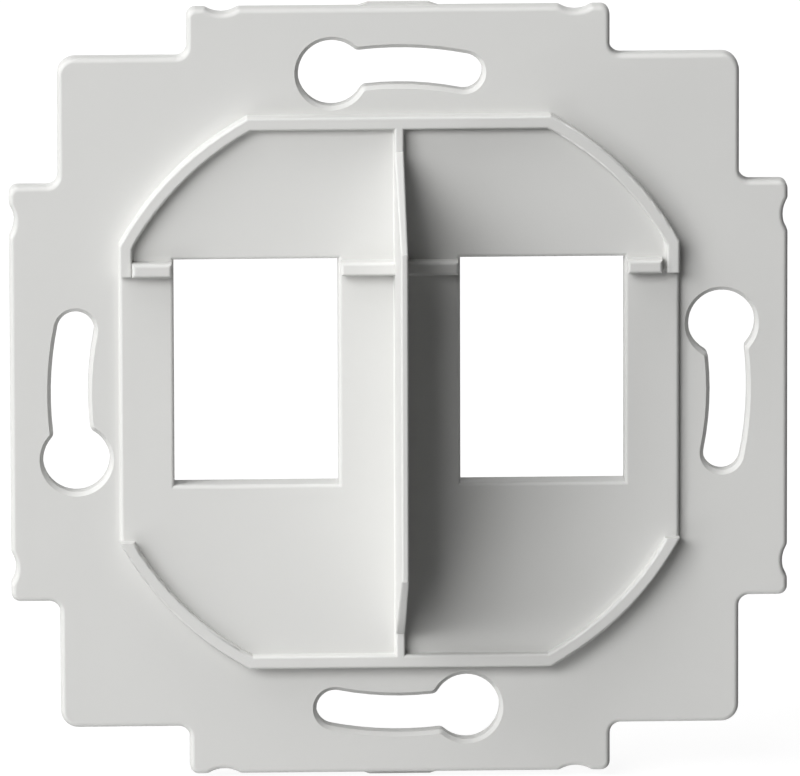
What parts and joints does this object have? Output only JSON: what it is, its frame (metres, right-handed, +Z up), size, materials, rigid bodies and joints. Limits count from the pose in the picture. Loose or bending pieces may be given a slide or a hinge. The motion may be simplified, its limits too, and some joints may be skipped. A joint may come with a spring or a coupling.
{
  "type": "ethernet mounting frame",
  "caption": "One-piece moulded wall plate with keyholes for box screws, socket windows on a raised platform, a low rim and a tall thin divider between the windows.",
  "frame": {"origin": "centre of the flat wall side of the plate", "axes": "+Z up along the divider, +Y out of the wall side, so the divider points along -Y; +X to the right when seen from the front"},
  "size_m": [0.071, 0.0165, 0.0716],
  "materials": {
    "moulding": "matte light grey moulded thermoplastic, fine even texture"
  },
  "bodies": {
    "root": {"mounting_frame": "moulding"}
  },
  "joints": []
}
